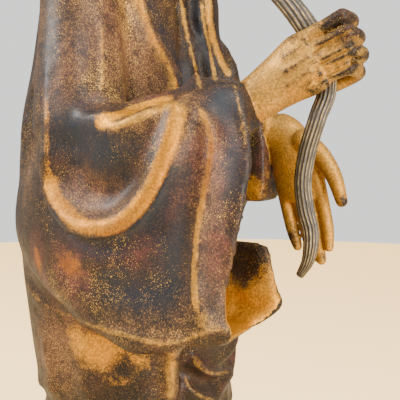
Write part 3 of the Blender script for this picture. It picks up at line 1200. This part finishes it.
# %% Gold left on rolls, edges and in hollows
FAR_LAPEL = [(207, -30), (208, -5), (210, 20), (214, 40), (222, 62), (232, 80)]
CUFF_RIM = [(233, 82), (239, 105), (244, 135), (245, 165)]
CROOK_BED = [(150, 110), (172, 106), (190, 106)]
FRONT_PLEAT = [(172, 346), (171, 372), (170, 404)]
SHOULDER_SEAM = [(101, 20), (102, 60), (101, 95)]
HEM_ABOVE = moved(SLEEVE_HEM, 0, -4)
GILDED_LINES = (
    (0.55, 1.4, U_ROLL[1:7]), (1.0, 2.7, U_ROLL[4:]), (0.5, 4.6, U_ROLL[4:]), (0.95, 0.85, SLEEVE_RIDGE),
    (0.4, 2.2, SLEEVE_RIDGE), (1.0, 2.2, CROOK), (0.8, 1.7, CROOK_LIP), (0.55, 0.7, CUFF_RIM),
    (0.85, 1.2, moved(NEAR_LAPEL, -2)), (0.5, 2.8, moved(NEAR_LAPEL, -6)), (0.6, 0.9, UPPER_SWAG),
    (0.6, 0.9, LOWER_SWAG), (0.8, 0.8, SECOND_COLLAR), (0.85, 0.9, THIRD_COLLAR), (0.9, 1.7, FAR_LAPEL),
    (0.55, 3.0, CROOK_BED), (0.4, 0.7, MOUTH_RIM), (0.5, 1.3, HEM_ABOVE), (0.6, 1.2, HEM_ABOVE[4:]),
    (0.66, 2.4, FRONT_PLEAT), (0.65, 0.7, SHOULDER_SEAM))
GILDED_PATCHES = (
    (0.85, (11, 7), (98, 350)), (0.7, (5, 4), (76, 334)), (0.6, (6, 5), (140, 362)),
    (0.95, (4, 3), (105, 121)), (0.5, (8, 3), (120, 380)), (0.6, (4, 5), (205, 326)),
    (0.7, (3, 7), (38, 262)), (0.72, (7, 5), (70, 264)), (0.7, (7, 7), (252, 190)), (0.5, (5, 4), (206, 324)))
BARE_PATCHES = (
    (0.8, (5, 3.4), (343, 22)), (0.6, (3, 2), (350, 42)), (0.5, (3, 1.6), (354, 58)),
    (0.85, (5, 9), (244, 262)), (0.5, (3, 4), (253, 252)), (0.7, (3, 4), (258, 130)),
    (0.6, (3, 8), (292, 240)), (0.7, (3, 3), (345, 202)), (0.5, (2, 3), (322, 258)))
gilding = brushed(GILDED_LINES, GILDED_PATCHES)
gilding = np.maximum(gilding, np.clip(0.35 * crest + 0.55 * shelter + 0.2 * hollow - 0.05, 0, 0.75))
gilding = np.where(inside_mouth, 0.42 + 0.55 * low_in_mouth, gilding)
gilding = np.where(left_hand_area, 1.0, gilding)
gilding = np.where(right_hand_area, np.clip(0.78 - 0.6 * crest, 0, 1), gilding)
gilding = np.where(head_area, np.clip(0.66 - 0.3 * crest + 0.2 * hollow, 0, 1), gilding)
gilding *= 1 - brushed(patches=BARE_PATCHES)
print("mean gilding:", round(float(gilding.mean()), 3))

# %% Warmth of the gold
WARM_LINES = ((0.9, 6, U_ROLL), (1.0, 1.8, moved(U_ROLL[6:], -5, -7)), (0.75, 1.2, moved(U_ROLL[4:9], -5, 5)),
              (1.0, 3.0, CROOK), (0.6, 1.4, NEAR_LAPEL), (0.5, 2.0, FAR_LAPEL))
WARM_PATCHES = ((1.0, (16, 10), (105, 352)), (1.0, (5, 4), (104, 120)), (0.8, (5, 5), (38, 262)),
                (0.85, (6, 6), (70, 265)), (0.8, (8, 8), (252, 190)))
warmth = brushed(WARM_LINES, WARM_PATCHES)
warmth = np.maximum(warmth, 0.75 * np.clip(shelter + hollow - 0.3, 0, 1))
warmth = np.where(inside_mouth, 0.4 + 0.6 * low_in_mouth, warmth)
warmth = np.where(left_hand_area, 0.3, warmth)
warmth = np.where(right_hand_area | head_area, 0.15, warmth)
print("mean warmth:", round(float(warmth.mean()), 3))

# %% Colours of the lacquer
BELLY_SWEEP = [(110, 262), (120, 280), (150, 296), (170, 270), (180, 230)]
RED_PATCHES = (
    (0.7, (4, 11), (222, 180)), (0.7, (4, 10), (218, 250)), (0.9, (8, 8), (128, 248)),
    (0.9, (9, 7), (84, 196)), (0.9, (5, 16), (217, 160)), (0.8, (4, 10), (172, 190)),
    (0.75, (13, 18), (122, 40)), (0.7, (7, 10), (52, 352)), (1.0, (5, 8), (38, 262)),
    (1.0, (8, 7), (68, 264)), (0.5, (7, 12), (60, 70)))
SLATE_PATCHES = (
    (1.0, (11, 10), (76, 130)), (0.9, (9, 7), (104, 150)), (0.8, (5, 20), (50, 50)),
    (1.0, (5, 7), (222, 102)), (0.9, (3, 14), (233, 165)), (0.8, (4, 14), (180, 240)),
    (0.6, (4, 12), (240, 170)), (0.5, (8, 14), (78, 40)), (0.6, (5, 9), (165, 200)))
SLATE_LINES = ((0.7, 3.4, moved(NEAR_LAPEL, 10, 4)), (1.0, 6.0, U_FOOT[2:]),
               (0.7, 2.6, moved(SECOND_COLLAR, 14, -2)), (0.8, 8.0, BELLY_SWEEP))
DUSTY_PATCHES = (
    (1.0, (7, 10), (115, 78)), (0.9, (9, 9), (126, 12)), (0.3, (10, 8), (80, 280)),
    (0.2, (12, 9), (130, 270)), (0.9, (9, 5), (70, 300)), (0.6, (5, 8), (150, 130)))
FILM_LINES = ((1.0, 5.5, moved(U_ROLL[5:], 4, -10)), (0.9, 5.0, CROOK_LIP), (0.8, 3.5, SLEEVE_RIDGE),
              (0.9, 4.0, FRONT_PLEAT), (0.35, 5.0, moved(SLEEVE_HEM[5:], 0, -8)))
FILM_PATCHES = (
    (1.0, (17, 26), (88, 36)), (1.0, (16, 22), (134, 44)), (0.8, (12, 10), (110, 96)),
    (0.8, (14, 5), (150, 330)), (0.9, (11, 12), (58, 350)), (0.6, (5, 12), (224, 300)),
    (0.7, (10, 8), (84, 196)), (0.6, (6, 12), (30, 170)), (0.2, (5, 20), (222, 200)),
    (0.7, (4, 8), (170, 376)), (0.6, (8, 12), (150, 60)))
DARK_LINES = ((0.75, 1.5, moved(U_ROLL[7:], -7, -8)), (0.5, 2.4, U_ROLL[4:]))
DARK_PATCHES = ((1.0, (6, 10), (244, 262)), (0.6, (3, 4), (253, 252)), (0.8, (4, 4), (136, 96)),
                (0.7, (3, 3), (190, 352)))
red = brushed(patches=RED_PATCHES)
slate = brushed(SLATE_LINES, SLATE_PATCHES)
dusting = brushed(patches=DUSTY_PATCHES)
film = np.maximum(brushed(FILM_LINES, FILM_PATCHES), 0.3 * np.clip(normals[:, 2], 0, 1))
hollow = np.maximum(hollow, brushed(DARK_LINES, DARK_PATCHES))
print("points on red, slate and film:", *(int((mark > 0.3).sum()) for mark in (red, slate, film)))

# %% Strands of the eyebrow, and all values onto the mesh
STRAND_ROUNDS, STRAND_HEIGHT = 3, 0.12
strand = np.clip(0.5 + relief(STRAND_ROUNDS) / STRAND_HEIGHT, 0, 1)
for name, values in zip((*MARKS, "strand"), (gilding, warmth, red, slate, hollow, dusting, film, strand)):
    casting.data.attributes.new(name, "FLOAT", "POINT").data.foreach_set("value", values.astype(np.float32))
print("painted", len(points), "points")

# %% [markdown]
# ## Onto the frame
#
# The soles are cut flat, the casting is brought from parts to metres and stood on the plinth, and
# the frame is told which solid it replaces. The plinth keeps its own solid and only gets a finish.

# %% Into place, in metres
bm = bmesh.new()
bm.from_mesh(casting.data)
bmesh.ops.bisect_plane(bm, geom=bm.verts[:] + bm.edges[:] + bm.faces[:], plane_co=(0, 0, 0),
                       plane_no=(0, 0, -1), clear_outer=True)
bmesh.ops.holes_fill(bm, edges=[e for e in bm.edges if e.is_boundary])
bmesh.ops.transform(bm, matrix=Matrix.Translation((0, 0, SOLE_Z)) @ Matrix.Scale(PART, 4), verts=bm.verts)
bm.to_mesh(casting.data)
bm.free()
casting.name = casting.data.name = "luohan_casting"
casting.data.shade_smooth()
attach(casting, "root")
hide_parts("figure")
print("casting:", len(casting.data.vertices), "points, in metres")

# %% Finish of the plinth
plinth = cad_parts["base"]
plinth.material_slots[0].material = plinth_finish
print("plinth finish:", plinth_finish.name)

# %% [markdown]
# ## A plain room
#
# The statue is shown on a pale table before a light wall. Both shine fully for the camera alone,
# so that they stay bright in the picture and lay no veil of reflection over the dark metal. A
# window behind, a light from above and a weak one low in front model the folds.

# %% Floor and light
FLOOR_SIDES, FLOOR_RADIUS, FLOOR_GAP = 128, 1.085, 0.0005
FLOOR_GLOW, AIR, WALL = 1.9, 0.62, 1.25
LIGHT_AIM = (0, 0, 0.18)
# Of each light: name, place, size, watts and colour.
LIGHTS = (("window", (-0.55, 0.75, 0.75), 0.5, 24, (1.0, 0.97, 0.93)),
          ("ceiling", (-0.35, -0.55, 0.95), 0.8, 18, (1.0, 0.96, 0.90)),
          ("room", (-0.18, -0.6, 0.16), 0.4, 7, (1.0, 0.95, 0.86)))
CLOTH_CREAM, CLOTH_GLOW, WALL_WHITE = (0.82, 0.64, 0.36, 1), (1.0, 0.58, 0.16, 1), (1.0, 0.995, 0.98, 1)
CLOTH_ROUGHNESS = 0.9
floor_mesh = bpy.data.meshes.new("floor")
bm = bmesh.new()
bmesh.ops.create_circle(bm, cap_ends=True, segments=FLOOR_SIDES, radius=FLOOR_RADIUS)
bm.to_mesh(floor_mesh)
bm.free()
floor = bpy.data.objects.new("floor", floor_mesh)
bpy.context.scene.collection.objects.link(floor)
floor.location.z = -FLOOR_GAP
table_cover = bpy.data.materials.new("pale_table_cover")
table_cover.use_nodes = True
tree = table_cover.node_tree
cover = tree.nodes["Principled BSDF"].inputs
cover["Base Color"].default_value = CLOTH_CREAM
cover["Roughness"].default_value = CLOTH_ROUGHNESS
cover["Emission Color"].default_value = CLOTH_GLOW
seen = node(tree, "ShaderNodeLightPath").outputs["Is Camera Ray"]
tree.links.new(times(tree, seen, FLOOR_GLOW), cover["Emission Strength"])
floor_mesh.materials.append(table_cover)

world = bpy.data.worlds.new("studio")
bpy.context.scene.world = world
world.use_nodes = True
tree = world.node_tree
sky = tree.nodes["Background"].inputs
sky["Color"].default_value = WALL_WHITE
seen = node(tree, "ShaderNodeLightPath").outputs["Is Camera Ray"]
tree.links.new(plus(tree, times(tree, seen, WALL - AIR), AIR), sky["Strength"])


def soft_light(name, place, size, watts, colour):
    """A square light that is turned to the middle of the statue."""
    data = bpy.data.lights.new(name, "AREA")
    data.energy, data.size, data.color = watts, size, colour
    made = bpy.data.objects.new(name, data)
    made.location = place
    made.rotation_euler = (Vector(LIGHT_AIM) - Vector(place)).to_track_quat("-Z", "Y").to_euler()
    bpy.context.scene.collection.objects.link(made)


for light in LIGHTS:
    soft_light(*light)
print("lights:", [light[0] for light in LIGHTS])
